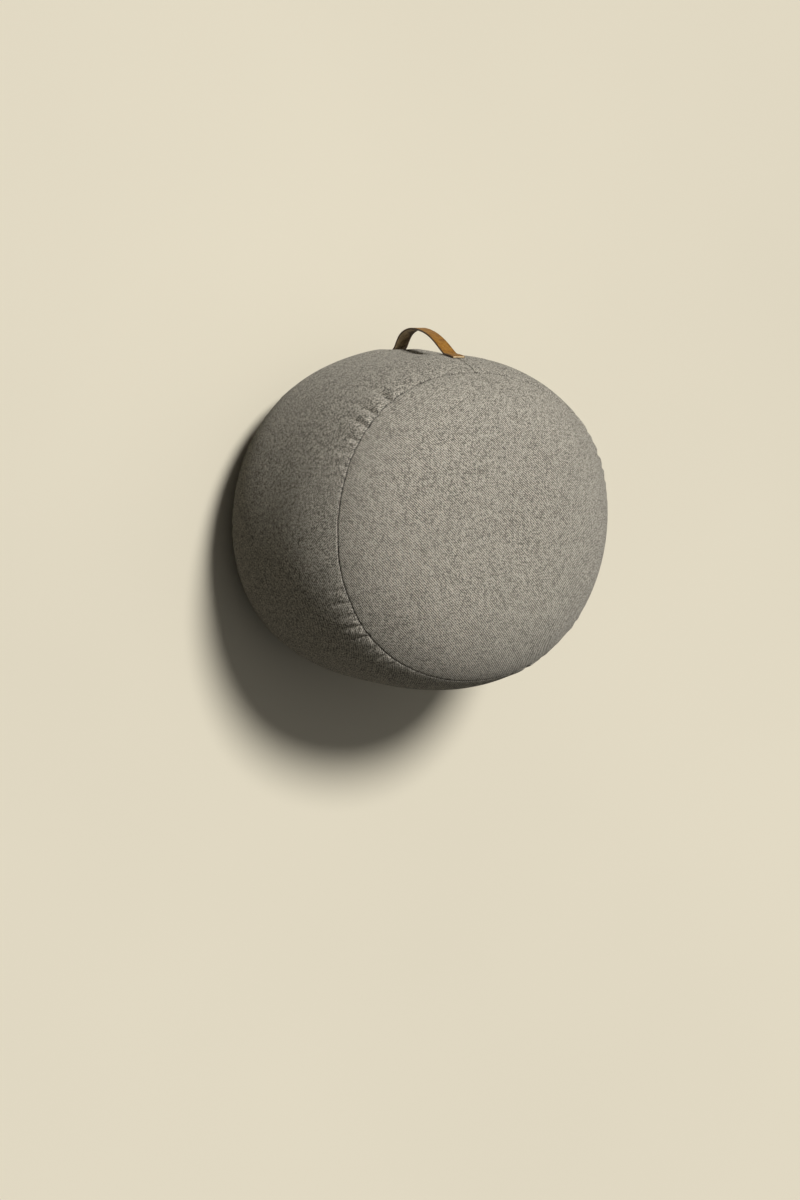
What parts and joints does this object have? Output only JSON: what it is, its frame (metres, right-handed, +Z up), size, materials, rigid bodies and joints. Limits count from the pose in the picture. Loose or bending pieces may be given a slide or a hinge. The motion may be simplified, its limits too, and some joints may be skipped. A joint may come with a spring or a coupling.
{
  "type": "wool pouf with leather strap handle",
  "caption": "Round filled floor seat with a crowned top, a gathered side band of grey wool twill and an arched leather carrying strap.",
  "frame": {"origin": "on the pouf's axis, in the middle of the flat on which the base rests", "axes": "+Z up the axis from the base to the crown, -Y towards the strap handle and the band's join"},
  "size_m": [0.5031, 0.5224, 0.4123],
  "materials": {
    "wool_top": "grey marl wool twill, dry and matt, with a light fuzz",
    "wool_band": "grey marl wool twill, dry and matt, gathered at both seams",
    "wool_base": "grey marl wool twill, dry and matt, flattened where it rests",
    "strap_leather": "tan leather, semi-matt grain side with darker edges"
  },
  "bodies": {
    "root": {"top_panel": "wool_top", "side_band": "wool_band", "base_panel": "wool_base", "handle_strap": "strap_leather"}
  },
  "joints": []
}
